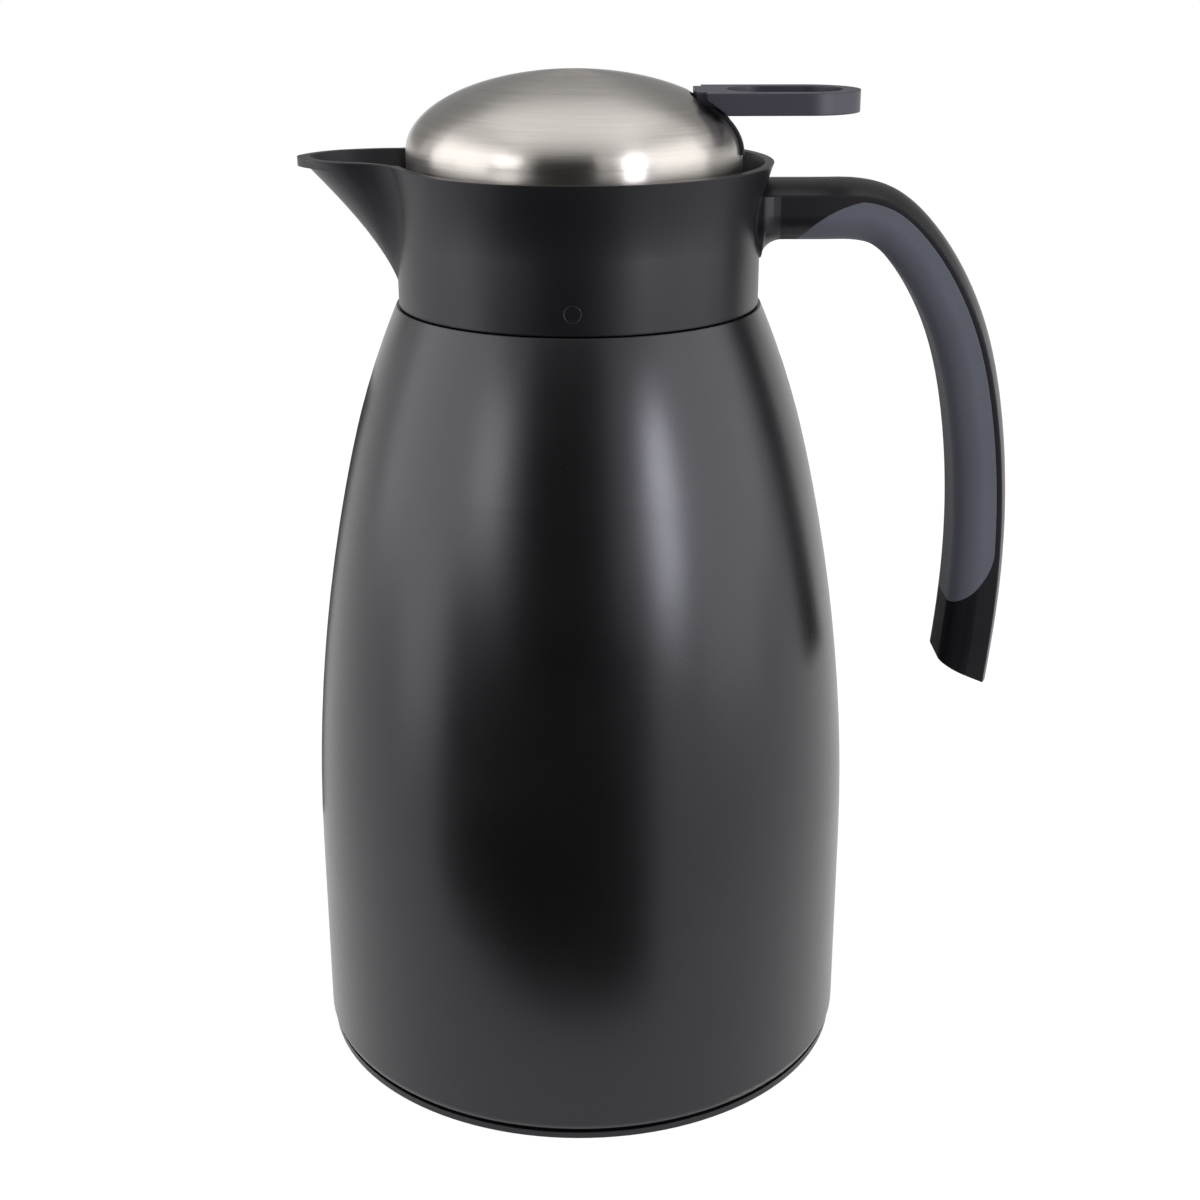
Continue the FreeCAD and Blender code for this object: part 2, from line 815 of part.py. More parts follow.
def handle_sweep(section):
    """A section swept along the handle's back and cut off slanting at the free end."""
    path = Part.Wire([handle_back().toShape()])
    sweep = path.makePipeShell([section], True, False)
    outer, inner = (share_point(*shares) for shares in HANDLE_END_SHARES)
    way = (outer - inner).normalize()
    far = d.handle_thickness.value * 2
    down = vector(way.z, 0, -way.x) * far
    reach = d.handle_half_width.value + d.overrun.value
    corners = [outer + way * far, inner - way * far, inner - way * far + down, outer + way * far + down]
    edges = [Part.LineSegment(a, b).toShape() for a, b in zip(corners, corners[1:] + corners[:1])]
    face = Part.Face(Part.Wire(edges))
    face.translate(vector(0, -reach, 0))
    return sweep.cut(face.extrude(vector(0, reach * 2, 0)))


def root_flare():
    """Flared root with which the handle's sides and underside run into the collar's wall."""
    flare = d.root_flare.value
    crown = d.handle_top.value - d.handle_crown.value - d.thin_gap.value
    wires = []
    inside = d.collar_radius.value - d.collar_wall.value + d.gap.value
    places = [(inside, flare)]
    for share in ROOT_FLARE_SHARES:
        grow = flare - math.sqrt(flare ** 2 - (flare * (1 - share)) ** 2)
        places.append((d.collar_radius.value + flare * share, grow))
    places[-1] = (d.collar_radius.value + flare, -d.thin_gap.value)
    for x, grow in places:
        half = d.handle_half_width.value + min(grow * ROOT_SIDE_SHARE, grow)
        depth = d.handle_thickness.value - d.handle_crown.value - d.thin_gap.value + grow
        wires.append(rounded_wire(lambda side, down, x=x: vector(x, side, crown - down), half, 0, depth,
                                  d.handle_round.value + grow * ROOT_CORNER_SHARE))
    return solid_feature("root_flare", Part.makeLoft(wires, True, True))


def side_view_solid(label, edges):
    """A closed outline of the side view, run right through the handle from side to side."""
    reach = d.handle_half_width.value + d.overrun.value
    face = Part.Face(Part.Wire(edges))
    face.translate(vector(0, -reach, 0))
    return solid_feature(label, face.extrude(vector(0, reach * 2, 0)))


def grip_zone():
    """Side view of the soft grip, between its band under the back and the inner side."""
    depth = d.handle_crown.value + d.grip_band.value
    stations = handle_stations(*GRIP_RUN_SHARES)
    back = [point - outwards * depth for point, outwards in stations]
    low, rise = (share_point(*shares) for shares in GRIP_START_SHARES)
    bend, turn, out = (share_point(*shares) for shares in GRIP_END_SHARES)
    inner = share_point(GRIP_START_SHARES[0][0], GRIP_END_SHARES[-1][1])
    edges = [Part.Arc(low, rise, back[0]).toShape(), spline(back).toShape()]
    edges.append(Part.Arc(back[-1], bend, turn).toShape())
    edges += [Part.LineSegment(a, b).toShape() for a, b in ((turn, out), (out, inner), (inner, low))]
    return side_view_solid("grip_zone", edges)


# Stopper and valve

def stopper_body():
    """Moulded plug: threaded tube, sealing flange, pour ports, deck and stem guide."""
    flange = d.sleeve_radius + d.stopper_flange
    tube_bottom = seat_height - d.rim_thickness
    body = revolved_body(
        "stopper_body",
        [
            Corner(tube_bore, tube_bottom),
            Corner(tube_radius, tube_bottom),
            Corner(tube_radius, flange_bottom),
            Corner(flange, flange_bottom),
            Corner(flange, flange_top),
            Corner(tube_radius, flange_top),
            Corner(tube_radius, deck_height),
            Corner(dome_bore - d.frame_rim_wall, deck_height),
            Corner(dome_bore - d.frame_rim_wall, deck_top),
            Corner(d.guide_boss_radius, deck_top),
            Corner(d.guide_boss_radius, guide_top),
            Corner(guide_bore, guide_top),
            Corner(guide_bore, guide_bottom),
            Corner(d.guide_boss_radius, guide_bottom),
            Corner(d.guide_boss_radius, deck_height),
            Corner(tube_bore, deck_height),
        ],
    )
    sketch = new_sketch(body, "port_outline", "YZ_Plane")
    bottom = flange_top + d.gap
    draw_loop(
        sketch,
        box_outline(d.port_half_width * -1, d.port_half_width, bottom, bottom + d.port_height),
        "a",
    )
    port = body.newObject("PartDesign::Pocket", "port")
    port.Profile = sketch
    port.Length = tube_radius.value + d.overrun.value
    port.setExpression("Length", (tube_radius + d.overrun).text)
    port.Reversed = True
    sketch.Visibility = False
    ports = body.newObject("PartDesign::PolarPattern", "ports")
    ports.Originals = [port]
    ports.Axis = (origin_feature(body, "Z_Axis"), [""])
    ports.Angle = 360.0
    ports.Occurrences = int(d.port_count.value)
    ports.setExpression("Occurrences", d.port_count.text)
    body.Tip = ports
    return body


def seat_ring():
    """Ring in the plug's lower end whose top face the valve closes on."""
    flange = seat_height - d.rim_thickness
    spigot = tube_bore - d.thin_gap
    return revolved_body(
        "seat_ring",
        [
            Corner(d.seat_bore, seat_height - d.seat_thickness),
            Corner(tube_radius, seat_height - d.seat_thickness),
            Corner(tube_radius, flange),
            Corner(spigot, flange),
            Corner(spigot, seat_height + d.seat_spigot),
            Corner(spigot - d.seat_spigot_wall, seat_height + d.seat_spigot),
            Corner(spigot - d.seat_spigot_wall, seat_height),
            Corner(d.seat_bore, seat_height),
        ],
    )


def spring_shape():
    """Return spring: a helix of quarter turns round the stem, from the valve to the plug's deck."""
    wire = d.spring_wire.value
    radius = d.spring_radius.value
    low = disc_top.value + wire + d.thin_gap.value
    high = deck_height.value - wire - d.thin_gap.value
    count = int(d.spring_turns.value) * 4
    rise = (high - low) / count

    def helix(step):
        angle = math.pi / 2 * step
        return vector(radius * math.cos(angle), radius * math.sin(angle), low + rise * step)

    edges = [
        Part.Arc(helix(step), helix(step + 0.5), helix(step + 1)).toShape() for step in range(count)
    ]
    path = Part.Wire(edges)
    heading = edges[0].tangentAt(edges[0].FirstParameter)
    section = Part.Wire([Part.makeCircle(wire, helix(0), heading)])
    return path.makePipeShell([section], True, False)


# Lid

def dome_solid(offset, bottom):
    """Full solid inside the dome's face, grown by offset, from bottom up, with its seam away from the slot."""
    radius = d.dome_radius.value + offset
    waist = dome_waist.value
    side = vector(-radius, 0, waist)
    top = vector(0, 0, waist + d.dome_height.value + offset)
    ellipse = Part.Ellipse(side, top, vector(0, 0, waist))
    ends = sorted((ellipse.parameter(side), ellipse.parameter(top)))
    corners = [top, vector(0, 0, bottom), vector(-radius, 0, bottom), side]
    edges = [ellipse.toShape(*ends)]
    edges += [Part.LineSegment(a, b).toShape() for a, b in zip(corners, corners[1:])]
    face = Part.Face(Part.Wire(Part.__sortEdges__(edges)))
    solid = face.revolve(vector(0, 0, 0), vector(0, 0, 1), 360)
    solid.translate(vector(-d.dome_set_forward.value, 0, 0))
    return solid


def block(x0, x1, y0, y1, z0, z1):
    """A block between two corners."""
    return Part.makeBox(x1 - x0, y1 - y0, z1 - z0, vector(x0, y0, z0))


def steel_dome():
    """Brushed steel dome with the slot that the lever comes out of."""
    wall = d.dome_wall.value
    bottom = dome_bottom.value
    outer = dome_solid(0, bottom)
    inner = dome_solid(-wall, bottom - d.overrun.value)
    top = dome_waist.value + d.dome_height.value + d.overrun.value
    half = d.slot_half_width.value
    low = slot_bottom.value
    corner = d.slot_corner.value
    inner_end = d.slot_start.value + corner
    slot = block(inner_end, d.dome_radius.value + d.overrun.value, -half, half, low, top)
    slot = slot.fuse(block(d.slot_start.value, inner_end, corner - half, half - corner, low, top))
    for side in (-1, 1):
        slot = slot.fuse(Part.makeCylinder(corner, top - low, vector(inner_end, side * (half - corner), low)))
    return solid_feature("steel_dome", outer.cut(inner).cut(slot.removeSplitter()))


def lid_frame():
    """Black moulding under the dome: floor, rim, the slot's surround and the lever's two ears."""
    floor = deck_top.value
    outer = dome_bore.value - d.gap.value
    rim_top = floor + d.frame_rim_height.value
    middle = vector(-d.dome_set_forward.value, 0, floor)
    plate = Part.makeCylinder(outer, d.frame_floor.value, middle)
    rim = Part.makeCylinder(outer, d.frame_rim_height.value, middle)
    rim = rim.cut(Part.makeCylinder(outer - d.frame_rim_wall.value, d.frame_rim_height.value + d.overrun.value,
                                    middle))
    frame = plate.fuse(rim)
    depth = d.surround_depth.value
    surround = dome_solid(-depth, floor)
    half = d.slot_half_width.value - d.thin_gap.value
    thin = d.ear_thickness.value
    pin_x = d.pivot_reach.value
    ear_start = pin_x - d.pivot_hub_radius.value * 2
    ear_end = d.dome_radius.value + d.overrun.value
    sill = slot_bottom.value + d.thin_gap.value
    ear_top = lever_top.value - d.ear_thickness.value
    inside = dome_solid(-d.dome_wall.value - d.gap.value, floor)
    slot_end = d.slot_start.value + d.slot_corner.value
    for side in (1, -1):
        low, high = sorted((side * half, side * (half - thin)))
        ear = block(ear_start, ear_end, low, high, floor, ear_top).common(inside)
        face = block(slot_end, ear_end, low, high, sill, ear_top).common(surround)
        frame = frame.fuse(ear).fuse(face)
    wall = surround.cut(dome_solid(-depth - d.slot_wall_thickness.value, floor - d.overrun.value))
    wall = wall.common(block(pin_x + d.pivot_hub_radius.value + d.overrun.value, ear_end, -half, half, sill,
                             slot_wall_top.value))
    frame = frame.fuse(wall)
    guide = Part.makeCylinder(d.guide_boss_radius.value + d.gap.value, d.frame_floor.value + d.overrun.value * 2,
                              vector(0, 0, floor - d.overrun.value))
    pin = Part.makeCylinder(d.pivot_pin_radius.value, half * 2, vector(pin_x, -half, pivot_height.value),
                            vector(0, 1, 0))
    frame = frame.cut(guide).cut(pin)
    for x, y in screw_places():
        hole = Part.makeCylinder(d.lid_screw_radius.value, d.frame_floor.value + d.overrun.value * 2,
                                 vector(x, y, floor - d.overrun.value))
        frame = frame.cut(hole)
    return solid_feature("lid_frame", frame.removeSplitter())


def screw_places():
    """Places of the three lid screws, clear of the lever."""
    circle = d.lid_screw_circle.value
    return [(circle * math.cos(math.radians(a)), circle * math.sin(math.radians(a))) for a in (90, 180, 270)]


def lid_screws():
    """Three screws that hold the lid's frame down on the plug's deck."""
    screws = []
    head_seat = frame_floor_top.value
    for x, y in screw_places():
        head = Part.makeCylinder(d.lid_screw_head.value, d.lid_screw_head_height.value, vector(x, y, head_seat))
        shank = Part.makeCylinder(d.lid_screw_radius.value, d.lid_screw_length.value,
                                  vector(x, y, head_seat - d.lid_screw_length.value))
        screws.append(head.fuse(shank).removeSplitter())
    return solid_feature("lid_screws", Part.makeCompound(screws))


def screw_bosses():
    """Bosses under the plug's deck that the lid screws run into."""
    shapes = []
    depth = d.lid_screw_length.value - d.frame_floor.value - d.deck_thickness.value + d.frame_floor.value
    for x, y in screw_places():
        boss = Part.makeCylinder(d.lid_screw_radius.value + d.frame_floor.value, depth,
                                 vector(x, y, deck_height.value - depth))
        shapes.append(boss)
    return solid_feature("screw_bosses", Part.makeCompound(shapes))


def thumb_lever():
    """Thumb ring, neck, hub on the pin and forked arm under the stem's cap, as one moulding."""
    half = d.lever_half_width.value
    bottom = lever_underside.value
    thick = d.lever_thickness.value
    tip = d.lever_tip.value
    centre = tip - half
    plate = block(d.lever_wing_start.value, centre, -half, half, bottom, bottom + thick)
    plate = plate.fuse(Part.makeCylinder(half, thick, vector(centre, 0, bottom)))
    hole_half = d.ring_hole_half_width.value
    hole_start = d.ring_hole_start.value + hole_half
    hole_end = tip - d.ring_rim.value - hole_half
    low = bottom - d.overrun.value
    deep = thick + d.overrun.value * 2
    hole = block(hole_start, hole_end, -hole_half, hole_half, low, low + deep)
    for x in (hole_start, hole_end):
        hole = hole.fuse(Part.makeCylinder(hole_half, deep, vector(x, 0, low)))
    keep_out = dome_solid(d.lever_dome_gap.value, bottom - d.overrun.value)
    plate = plate.cut(keep_out)
    arm_half = arm_half_width.value
    pin_x, pin_z = d.pivot_reach.value, pivot_height.value
    hub_radius = d.pivot_hub_radius.value
    hub = Part.makeCylinder(hub_radius, arm_half * 2, vector(pin_x, -arm_half, pin_z), vector(0, 1, 0))
    neck = block(pin_x - d.neck_setback.value, hole_start, -arm_half, arm_half, pin_z, bottom + thick)
    under = block(pin_x + hub_radius, hole_start + hub_radius, -arm_half, arm_half, pin_z - hub_radius, bottom)
    fork_end = -d.fork_overlap.value
    arm = block(fork_end, pin_x, -arm_half, arm_half, arm_bottom.value, arm_top.value)
    pad_half = d.fork_pad_half_length.value
    pad = block(-pad_half, pad_half, -arm_half, arm_half, arm_top.value, fork_top.value)
    notch_half = d.stem_radius.value + d.fork_gap.value
    notch = block(fork_end - d.overrun.value, notch_half, -notch_half, notch_half,
                  arm_bottom.value - d.overrun.value, fork_top.value + d.overrun.value)
    notch = notch.fuse(Part.makeCylinder(notch_half, fork_top.value - arm_bottom.value + d.overrun.value * 2,
                                         vector(notch_half / 2, 0, arm_bottom.value - d.overrun.value)))
    lever = plate.fuse([neck.cut(under), hub, arm, pad]).cut(hole).cut(notch)
    bore = Part.makeCylinder(d.pivot_pin_radius.value + d.pivot_clearance.value, arm_half * 2,
                             vector(pin_x, -arm_half, pin_z), vector(0, 1, 0))
    return solid_feature("thumb_lever", lever.cut(bore).removeSplitter())


def lever_pin():
    """Steel pin through the frame's ears and the lever's hub."""
    half = d.slot_half_width.value - d.thin_gap.value
    pin = Part.makeCylinder(d.pivot_pin_radius.value, half * 2,
                            vector(d.pivot_reach.value, -half, pivot_height.value), vector(0, 1, 0))
    return solid_feature("lever_pin", pin)


# The flask's pieces
keep(outer_shell())
keep(inner_liner())
keep(vacuum_bottom())
keep(ring_body("getter_cup", 0, d.getter_radius, d.vacuum_bottom_height,
               d.vacuum_bottom_height + d.getter_height))
keep(base_plate())
keep(ring_body("base_pad", 0, pad_radius, 0, d.pad_thickness))
keep(ring_body("neck_ring", shell_neck + d.shell_wall + d.gap, basin_radius - d.gap, d.neck_ring_bottom,
               d.neck_ring_bottom + d.neck_ring_height))
keep(ring_body("collar_gasket", d.sleeve_radius + d.sleeve_wall + d.thin_gap, shell_neck + d.shell_wall,
               rim_top, floor_under))

# The collar with its spout and handle frame, and the handle's two skins
form = collar_form()
root_station = handle_stations()[0]
handle_core = solid_feature("handle_core", handle_sweep(core_wire(root_station, 0)))
handle_spine = solid_feature("handle_spine", handle_sweep(core_wire(root_station, d.grip_skin.value)))
handle_back_skin = solid_feature("handle_back_skin", handle_sweep(cover_wire(root_station)))
keep(cut_feature("handle_cover", handle_back_skin, form))
grip_blank = common_feature("grip_blank", handle_core, grip_zone())
grip = keep(cut_feature("grip_insert", grip_blank, handle_spine))
handle_frame = cut_feature("handle_frame", handle_core, grip)
collar_blank = fuse_feature("collar_blank", form, spout_form(), handle_frame, root_flare())
keep(cut_feature("collar", collar_blank, collar_basin(), collar_underside(), spout_channel(), rim_crown()))

# The stopper, the valve and the lid
keep(ring_body("stopper_gasket", tube_radius + d.thin_gap, d.sleeve_radius + d.stopper_flange, floor_top,
               flange_bottom))
plug = stopper_body()
plug.Label = "plug_turned"
screws = lid_screws()
plug_with_bosses = fuse_feature("plug_with_bosses", plug, screw_bosses())
keep(cut_feature("stopper_body", plug_with_bosses, screws))
keep(seat_ring())
keep(ring_body("valve_seal", d.valve_seal_radius - d.valve_seal_width, d.valve_seal_radius, valve_bottom,
               disc_bottom))
keep(revolved_body("valve_disc", box_outline(0, d.valve_disc_radius, disc_bottom, disc_top)))
keep(ring_body("valve_stem", 0, d.stem_radius, disc_top, cap_bottom))
keep(ring_body("stem_cap", 0, d.stem_cap_radius, cap_bottom, cap_top))
keep(ring_body("stem_seal", guide_bore, d.stem_seal_radius, guide_top, guide_top + d.stem_seal_height))
keep(solid_feature("valve_spring", spring_shape()))
keep(lid_frame())
keep(screws)
keep(lever_pin())
keep(steel_dome())
keep(thumb_lever())

# Recompute, test every object and write each sub-part
doc.recompute()
for item in doc.Objects:
    if "Invalid" in item.State or "Error" in item.State:
        raise RuntimeError(f"{item.Label} did not compute: {item.State}")
os.makedirs("parts", exist_ok=True)
for feature in nodes:
    shape = feature.Shape
    if shape.isNull() or not shape.isValid() or not shape.Solids:
        raise RuntimeError(f"{feature.Label} has no valid solid")
    shape.exportStep(os.path.join("parts", f"{feature.Label}.step"))
    box = shape.BoundBox
    print(f"{feature.Label}: {len(shape.Solids)} solid, volume {shape.Volume:.0f}, "
          f"z {box.ZMin:.1f} to {box.ZMax:.1f}")
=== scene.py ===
import logging
import math
from dataclasses import dataclass
from enum import Enum

import bmesh
import bpy
from mathutils import Matrix, Vector
from mathutils.bvhtree import BVHTree


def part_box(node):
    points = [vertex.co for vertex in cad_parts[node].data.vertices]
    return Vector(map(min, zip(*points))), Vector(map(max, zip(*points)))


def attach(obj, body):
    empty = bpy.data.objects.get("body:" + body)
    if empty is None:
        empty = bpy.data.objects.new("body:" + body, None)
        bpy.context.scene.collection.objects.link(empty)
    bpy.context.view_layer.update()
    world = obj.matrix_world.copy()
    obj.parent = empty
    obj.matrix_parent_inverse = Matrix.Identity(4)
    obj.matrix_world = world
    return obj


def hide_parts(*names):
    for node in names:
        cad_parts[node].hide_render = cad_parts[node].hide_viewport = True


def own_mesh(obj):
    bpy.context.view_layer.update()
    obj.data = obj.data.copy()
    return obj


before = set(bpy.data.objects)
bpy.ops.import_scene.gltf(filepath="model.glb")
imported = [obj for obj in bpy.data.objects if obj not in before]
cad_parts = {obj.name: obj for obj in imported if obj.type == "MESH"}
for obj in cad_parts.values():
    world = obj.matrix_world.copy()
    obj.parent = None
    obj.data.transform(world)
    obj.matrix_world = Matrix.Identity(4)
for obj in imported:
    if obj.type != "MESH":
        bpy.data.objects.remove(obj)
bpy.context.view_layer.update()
LOG = logging.getLogger("thermal_jug")

Colour = tuple[float, float, float]
Point = tuple[float, float, float]
Socket = bpy.types.NodeSocket
Value = float | Socket
Inputs = dict[str | int, object]

WHITE: Colour = (1.0, 1.0, 1.0)
FULL_TURN = 2.0 * math.pi
NOISE_LOW, NOISE_HIGH = 0.25, 0.75
EDGE_SAMPLES = 4
MIX_FIRST, MIX_SECOND, MIX_RESULT = 6, 7, 2


class Body(Enum):
    """The rigid bodies that the scene's own pieces ride on."""

    FLASK = "flask"
    STOPPER = "stopper"


class Slot(Enum):
    """The record's material slots black_plastic and plain_steel; no piece in this script is given one."""

    BLACK_PLASTIC = "black_plastic"
    PLAIN_STEEL = "plain_steel"


class Grain(Enum):
    """How a steel surface's fine structure runs."""

    EVEN = "even"
    TURNED = "turned"


# Node trees

class NodeTree:
    """A material's or world's nodes, with short calls that add and join them."""

    def __init__(self, owner: bpy.types.Material | bpy.types.World, output: str) -> None:
        """Empties the owner's tree and gives it an output node.

        Args:
            owner: The material or world.
            output: The output node's type.
        """
        owner.use_nodes = True
        self.nodes = owner.node_tree.nodes
        self.links = owner.node_tree.links
        self.nodes.clear()
        self.output = self.add(output)

    def add(self, kind: str, inputs: Inputs | None = None, **settings: object) -> bpy.types.Node:
        """Adds a node.

        Args:
            kind: The node's type.
            inputs: Values or output sockets by input name or number.
            settings: Properties of the node.

        Returns:
            The new node.
        """
        node = self.nodes.new(kind)
        for key, value in settings.items():
            setattr(node, key, value)
        for key, value in (inputs or {}).items():
            self.feed(node.inputs[key], value)
        return node

    def feed(self, socket: Socket, value: object) -> None:
        """Sets an input socket, or joins an output socket to it.

        Args:
            socket: The input socket.
            value: A plain value or an output socket.
        """
        if isinstance(value, Socket):
            self.links.new(value, socket)
        else:
            socket.default_value = value

    def show(self, surface: Socket) -> None:
        """Joins a shader to the output."""
        self.feed(self.output.inputs["Surface"], surface)

    def maths(self, operation: str, first: Value, second: Value = 0.0) -> Socket:
        """One sum of two numbers, and the socket that holds it."""
        return self.add("ShaderNodeMath", {0: first, 1: second}, operation=operation).outputs[0]

    def weigh(self, first: Socket, second: Socket, share: float) -> Socket:
        """A weighted mean of two numbers.

        Args:
            first: The first number.
            second: The second number.
            share: The first number's weight, from 0 to 1.

        Returns:
            The mean.
        """
        parts = self.maths("MULTIPLY", first, share), self.maths("MULTIPLY", second, 1.0 - share)
        return self.maths("ADD", *parts)

    def glow(self, strength: float) -> Socket:
        """A white surface that gives its own light."""
        return self.add("ShaderNodeEmission", {"Color": (*WHITE, 1.0), "Strength": strength}).outputs[0]

    def sky(self, strength: float) -> Socket:
        """An even white background."""
        return self.add("ShaderNodeBackground", {"Color": (*WHITE, 1.0), "Strength": strength}).outputs[0]

    def choose(self, share: Socket, first: Socket, second: Socket) -> Socket:
        """A shader between two others."""
        return self.add("ShaderNodeMixShader", {0: share, 1: first, 2: second}).outputs[0]

    def seen(self) -> Socket:
        """One where a camera, glossy or transmission ray looks, and zero elsewhere.

        Returns:
            The socket with the sum.
        """
        path = self.add("ShaderNodeLightPath").outputs
        total = path["Is Camera Ray"]
        for name in ("Is Glossy Ray", "Is Transmission Ray"):
            step = self.add("ShaderNodeMath", {0: total, 1: path[name]}, operation="ADD", use_clamp=True)
            total = step.outputs[0]
        return total


@dataclass(frozen=True)
class Mark:
    """A small round mark left by the mould: a ring in relief, or a dimple where radius is 0."""

    place: Point
    radius: float
    width: float
    depth: float


class SurfaceTree(NodeTree):
    """A new material's nodes, with a Principled shader and the patterns that the finishes use."""

    def __init__(self, name: str) -> None:
        """Starts the material.

        Args:
            name: The material's name.
        """
        self.material = bpy.data.materials.new(name)
        super().__init__(self.material, "ShaderNodeOutputMaterial")
        self.shader = self.add("ShaderNodeBsdfPrincipled")
        self.show(self.shader.outputs["BSDF"])

    def dial(self, name: str, value: object) -> None:
        """Sets or feeds one of the shader's inputs."""
        self.feed(self.shader.inputs[name], value)

    def roughen(self, value: Socket, middle: float, give: float) -> None:
        """Lets the roughness vary round a middle value with a noise value."""
        self.dial("Roughness", self.spread(value, middle - give, middle + give))

    def place(self) -> Socket:
        """The point on the object, in metres in its own frame."""
        return self.add("ShaderNodeTexCoord").outputs["Object"]

    def turned(self, wave: float) -> Socket:
        """Coordinates that run slowly round the jug's axis and fast across it, for turned or brushed metal.

        Args:
            wave: How much slower the pattern changes along the brushing than across it.

        Returns:
            The coordinates' socket.
        """
        parts = self.add("ShaderNodeSeparateXYZ", {0: self.place()}).outputs
        squares = [self.maths("MULTIPLY", part, part) for part in parts[:2]]
        across = self.maths("SQRT", self.maths("ADD", *squares))
        along = self.maths("MULTIPLY", self.maths("ARCTAN2", parts[1], parts[0]), wave)
        return self.add("ShaderNodeCombineXYZ", {0: along, 1: across, 2: parts[2]}).outputs[0]

    def noise(self, where: Socket, scale: float, detail: float) -> Socket:
        """Soft noise.

        Args:
            where: The socket with the point to read it at.
            scale: Waves per metre.
            detail: Finer layers on top.

        Returns:
            The noise's value, from 0 to 1.
        """
        return self.add("ShaderNodeTexNoise", {"Vector": where, "Scale": scale, "Detail": detail}).outputs[0]

    def spread(self, value: Socket, low: float, high: float) -> Socket:
        """A noise value, which mostly stays between the noise's low and high, brought to a range.

        Args:
            value: The noise socket.
            low: What the low end becomes.
            high: What the high end becomes.

        Returns:
            The mapped value.
        """
        inputs = {"From Min": NOISE_LOW, "From Max": NOISE_HIGH, "To Min": low, "To Max": high}
        return self.add("ShaderNodeMapRange", {"Value": value, **inputs}).outputs[0]

    def colours(self, value: Socket, first: Colour, second: Colour) -> Socket:
        """Two colours mixed by a noise value.

        Args:
            value: The noise socket.
            first: The colour at the noise's low end.
            second: The colour at its high end.

        Returns:
            The mixed colour.
        """
        node = self.add("ShaderNodeMix", {"Factor": self.spread(value, 0.0, 1.0)}, data_type="RGBA")
        node.inputs[MIX_FIRST].default_value = (*first, 1.0)
        node.inputs[MIX_SECOND].default_value = (*second, 1.0)
        return node.outputs[MIX_RESULT]

    def edges(self, radius: float) -> Socket:
        """The normal with hard edges rounded off to a radius in metres."""
        return self.add("ShaderNodeBevel", {"Radius": radius}, samples=EDGE_SAMPLES).outputs[0]

    def bump(self, height: Socket, depth: float, under: Socket) -> Socket:
        """A relief.

        Args:
            height: The height socket, from 0 to 1.
            depth: The relief's real depth in metres.
            under: The normal that it lies on.

        Returns:
            The changed normal.
        """
        inputs = {"Height": height, "Distance": depth, "Strength": 1.0, "Normal": under}
        return self.add("ShaderNodeBump", inputs).outputs[0]

    def mark(self, mark: Mark, under: Socket) -> Socket:
        """A small round moulding mark in relief.

        Args:
            mark: The mark.
            under: The normal that it lies on.

        Returns:
            The changed normal.
        """
        inputs = {0: self.place(), 1: mark.place}
        away = self.add("ShaderNodeVectorMath", inputs, operation="DISTANCE").outputs["Value"]
        off = self.maths("ABSOLUTE", self.maths("SUBTRACT", away, mark.radius))
        line = self.maths("SUBTRACT", 1.0, self.maths("DIVIDE", off, mark.width))
        return self.bump(self.maths("MAXIMUM", line, 0.0), mark.depth, under)


# Finishes

@dataclass(frozen=True)
class Finish:
    """A surface finish that is moulded, painted or rubbery, with grain, mottling and uneven gloss."""

    name: str
    colour: Colour
    mottle: Colour
    roughness: float
    unevenness: float = 0.04
    patch_scale: float = 45.0
    patch_share: float = 0.6
    speck_size: float = 2.0
    grain_scale: float = 2200.0
    grain_depth: float = 0.00001
    ripple_scale: float = 160.0
    ripple_depth: float = 0.0
    sheen: float = 0.0
    sheen_roughness: float = 0.5
    specular: float = 0.5
    edge: float = 0.0003
    gloss_tint: Colour = (0.93, 0.91, 1.0)
    marks: tuple[Mark, ...] = ()

    def material(self) -> bpy.types.Material:
        """The finish as a material, made once."""
        return bpy.data.materials.get(self.name) or self.make()

    def make(self) -> bpy.types.Material:
        """Builds the node tree.

        Returns:
            The new material.
        """
        tree = SurfaceTree(self.name)
        where = tree.place()
        patches = tree.noise(where, self.patch_scale, detail=4.0)
        specks = tree.noise(where, self.grain_scale / self.speck_size, detail=2.0)
        mottling = tree.weigh(patches, specks, self.patch_share)
        tree.dial("Base Color", tree.colours(mottling, self.colour, self.mottle))
        tree.roughen(patches, self.roughness, self.unevenness)
        normal = tree.edges(self.edge)
        for mark in self.marks:
            normal = tree.mark(mark, normal)
        normal = tree.bump(tree.noise(where, self.grain_scale, detail=3.0), self.grain_depth, normal)
        if self.ripple_depth:
            normal = tree.bump(tree.noise(where, self.ripple_scale, detail=1.0), self.ripple_depth, normal)
        tree.dial("Normal", normal)
        tree.dial("Specular IOR Level", self.specular)
        tree.dial("Specular Tint", (*self.gloss_tint, 1.0))
        if self.sheen:
            tree.dial("Sheen Weight", self.sheen)
            tree.dial("Sheen Roughness", self.sheen_roughness)
        return tree.material


